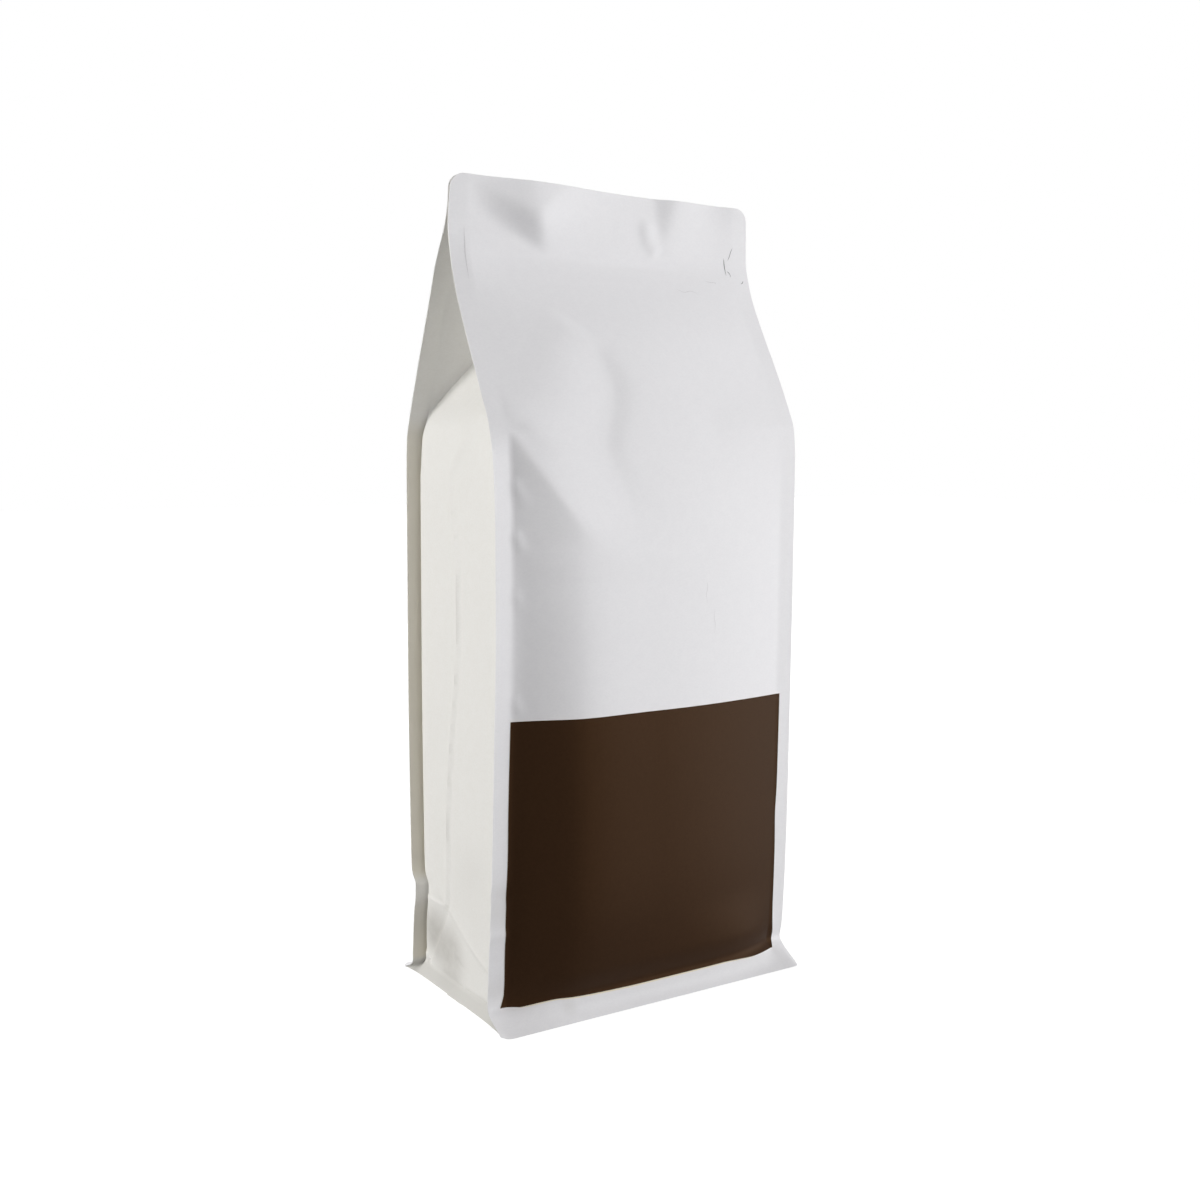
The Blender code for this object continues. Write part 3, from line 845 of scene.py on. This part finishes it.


# Small marks on the front: dark strips of painted shade in the cuts where a pull tab tears, grey strips of
# painted shade along the crease at the end of the fin's seal, and fine grey lines.
# Each is a path in (x, height) with a width.
marks = {
    "lift": 0.03,
    # painted shade inside the pull cuts
    "tone": [(0.16, 0.155, 0.16, 1), (0.3, 0.29, 0.3, 1)],
    # grey of the fine lines; along the fin's crease it is painted shade
    "softTone": [(0.62, 0.61, 0.63, 1), (0.72, 0.71, 0.73, 1)],
    "edgeLift": 0.2,
    "tip": 0.12,                # how far into the taper a mark starts and ends
    "cuts": [
        {"path": [(62.4, 317.3), (62.5, 314), (62.9, 309.5)], "width": 0.45},
        {"path": [(67.3, 322.4), (66.4, 320.6), (65.5, 318.3), (64.6, 316.4)], "width": 0.3},
        {"path": [(63.6, 311.6), (64.6, 310.9), (65.5, 308.9)], "width": 0.32},
        {"path": [(70.4, 306.2), (71.4, 306.8), (72.1, 307.8)], "width": 0.3},
    ],
    "creases": [
        # the first strip is painted shade along the crease at the end of the fin's seal
        {"path": [(-68.0, 320), (-68.3, 314), (-68.8, 309), (-68.9, 298.5)], "width": 0.55},
        {"path": [(22.3, 177), (22.9, 174), (22.2, 171), (22.7, 167)], "width": 0.25},
        {"path": [(27.2, 165), (26.6, 161), (27.2, 158), (26.9, 154)], "width": 0.25},
        {"path": [(33, 301.5), (37, 300.2), (41, 301.0), (45, 299.6)], "width": 0.25},
        {"path": [(50, 306.4), (53.5, 305.8), (57, 306.2)], "width": 0.25},
        {"path": [(55.6, 305.6), (56.1, 305.3)], "width": 0.5},
    ],
}


def markPoints(mark, lift):
    path = smoothPath(mark["path"])
    run = np.gradient(path, axis=0)
    run = run / np.hypot(*run.T)[:, None]
    taper = np.sin(np.linspace(marks["tip"], math.pi - marks["tip"], len(path)))[:, None]
    half = np.stack([-run[:, 1], run[:, 0]], 1) * mark["width"] / 2 * taper
    edges = [path - half, path + half]
    return np.stack([onFront(edge[:, 0], edge[:, 1], lift) for edge in edges], 1)


def markPiece(name, group, finish, lift):
    points = []
    faces = []
    for mark in group:
        strip = markPoints(mark, lift)
        start = len(points)
        points += (strip.reshape(-1, 3) * mm).tolist()
        for i in range(len(strip) - 1):
            a = start + 2 * i
            faces.append((a, a + 2, a + 3, a + 1))
    return meshPiece(name, points, faces, finish)


cutShadeFinish = plainFinish("pullCutShade", marks["tone"])
cutShadePiece = markPiece("pullCutShade", marks["cuts"], cutShadeFinish, marks["lift"])
creaseFinish = plainFinish("fineCreases", marks["softTone"])
creasePiece = markPiece("fineCreases", marks["creases"], creaseFinish, marks["lift"])
# painted highlight: a cream strip just below the label's bottom edge, for its cut edge catching the light
edgeHighlight = labelLook["edgeHighlight"]
highlightPath = [(x, z - edgeHighlight["drop"]) for x, z in labelLook["bottom"][1:-1]]
highlightMark = {"path": highlightPath, "width": edgeHighlight["width"]}
highlightFinish = plainFinish("labelEdgeHighlight", labelLook["rim"])
highlightPiece = markPiece("labelEdgeHighlight", [highlightMark], highlightFinish, marks["edgeLift"])
print("marks made")

for piece in (frontPiece, backPiece, leftPiece, rightPiece, bottomPiece, cutShadePiece, creasePiece):
    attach(piece, "root")
    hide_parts("bag")
for piece in (labelPiece, highlightPiece):
    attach(piece, "root")
    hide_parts("label")


# Floor, lights and camera
studio = {
    "floorHalf": 6,
    "floorTones": [(0.30, 0.30, 0.30, 1), (0.33, 0.33, 0.33, 1)],
    "floorScale": 6.0,
    # the floor's own light beside the bag, which leaves room for a soft shadow, and far from it
    "nearGlow": (0.88, 0.88, 0.88, 1),
    "farGlow": (1.05, 1.05, 1.05, 1),
    "nearReach": 0.25,
    "farReach": 0.75,
    "worldTone": (1.0, 0.99, 0.97, 1),
    "worldLevel": 0.22,
    "boxes": {
        "frontBox": {"turn": 15, "height": 0.25, "far": 1.3, "size": (0.6, 1.3), "power": 5.0,
                     "tone": (1, 1, 1)},
        "keyBox": {"turn": 40, "height": 0.25, "far": 1.3, "size": (0.6, 1.3), "power": 4.3,
                   "tone": (1, 1, 1)},
        "rightBox": {"turn": 60, "height": 0.25, "far": 1.3, "size": (0.6, 1.3), "power": 8.3,
                     "tone": (1, 1, 1)},
        "sideBox": {"turn": -108, "height": 0.22, "far": 1.2, "size": (0.7, 1.2), "power": 14.0,
                    "tone": (1.0, 0.99, 0.97)},
        "fillBox": {"turn": -45, "height": 0.3, "far": 1.3, "size": (0.7, 1.2), "power": 1.6,
                    "tone": (1, 1, 1)},
        "rearBox": {"turn": 165, "height": 0.25, "far": 1.3, "size": (0.6, 1.3), "power": 7.0,
                    "tone": (1, 1, 1)},
        "topBox": {"turn": 0, "height": 1.3, "far": 0.05, "size": (1.2, 1.2), "power": 3.3,
                   "tone": (1, 1, 1)},
    },
}
view = {"place": (-0.3221, -0.5045, 0.2267), "pitch": 84.18, "turn": -32.51, "lens": 41.0}


# A soft box that faces the bag's middle: turn is measured from the front, to the right
def softBox(name, box):
    light = bpy.data.lights.new(name, "AREA")
    light.shape = "RECTANGLE"
    light.size, light.size_y = box["size"]
    light.energy = box["power"]
    light.color = box["tone"]
    lamp = linked(name, light)
    turn = math.radians(box["turn"])
    lamp.location = (math.sin(turn) * box["far"], -math.cos(turn) * box["far"], box["height"])
    drop = math.atan2(box["height"] - bagHeight * mm / 2, box["far"])
    lamp.rotation_euler = (math.pi / 2 - drop, 0, turn)


def makeFloor():
    pale = Finish("paleFloor")
    place = pale.place()
    pale.give("Base Color", pale.mix(pale.noise(place, studio["floorScale"]), *studio["floorTones"]))
    pale.give("Roughness", 0.9)
    pale.give("Specular IOR Level", 0.0)
    share = pale.between(pale.measure("LENGTH", {0: place}), studio["nearReach"], studio["farReach"])
    pale.give("Emission Color", pale.mix(share, studio["nearGlow"], studio["farGlow"]))
    pale.give("Emission Strength", 1.0)
    half = studio["floorHalf"]
    corners = [(-half, -half, 0), (half, -half, 0), (half, half, 0), (-half, half, 0)]
    floor = meshPiece("floor", corners, [(0, 1, 2, 3)], pale.material)
    floor.visible_diffuse = False
    floor.visible_glossy = False


# The camera sees a white backdrop, the bag gets the studio's faint light
def makeWorld():
    world = bpy.data.worlds.new("studio")
    bpy.context.scene.world = world
    world.use_nodes = True
    tree = world.node_tree
    background = tree.nodes["Background"]
    background.inputs["Color"].default_value = studio["worldTone"]
    background.inputs["Strength"].default_value = studio["worldLevel"]
    backdrop = tree.nodes.new("ShaderNodeBackground")
    backdrop.inputs["Color"].default_value = (1, 1, 1, 1)
    path = tree.nodes.new("ShaderNodeLightPath")
    mixed = tree.nodes.new("ShaderNodeMixShader")
    tree.links.new(path.outputs["Is Camera Ray"], mixed.inputs[0])
    tree.links.new(background.outputs[0], mixed.inputs[1])
    tree.links.new(backdrop.outputs[0], mixed.inputs[2])
    tree.links.new(mixed.outputs[0], tree.nodes["World Output"].inputs["Surface"])


def makeCamera():
    camera = linked("camera", bpy.data.cameras.new("camera"))
    camera.data.lens = view["lens"]
    camera.data.sensor_width = 36.0
    camera.location = view["place"]
    camera.rotation_euler = (math.radians(view["pitch"]), 0, math.radians(view["turn"]))
    bpy.context.scene.camera = camera


makeFloor()
for name, box in studio["boxes"].items():
    softBox(name, box)
makeWorld()
makeCamera()
bpy.context.scene.view_settings.view_transform = "Standard"
print("studio made")
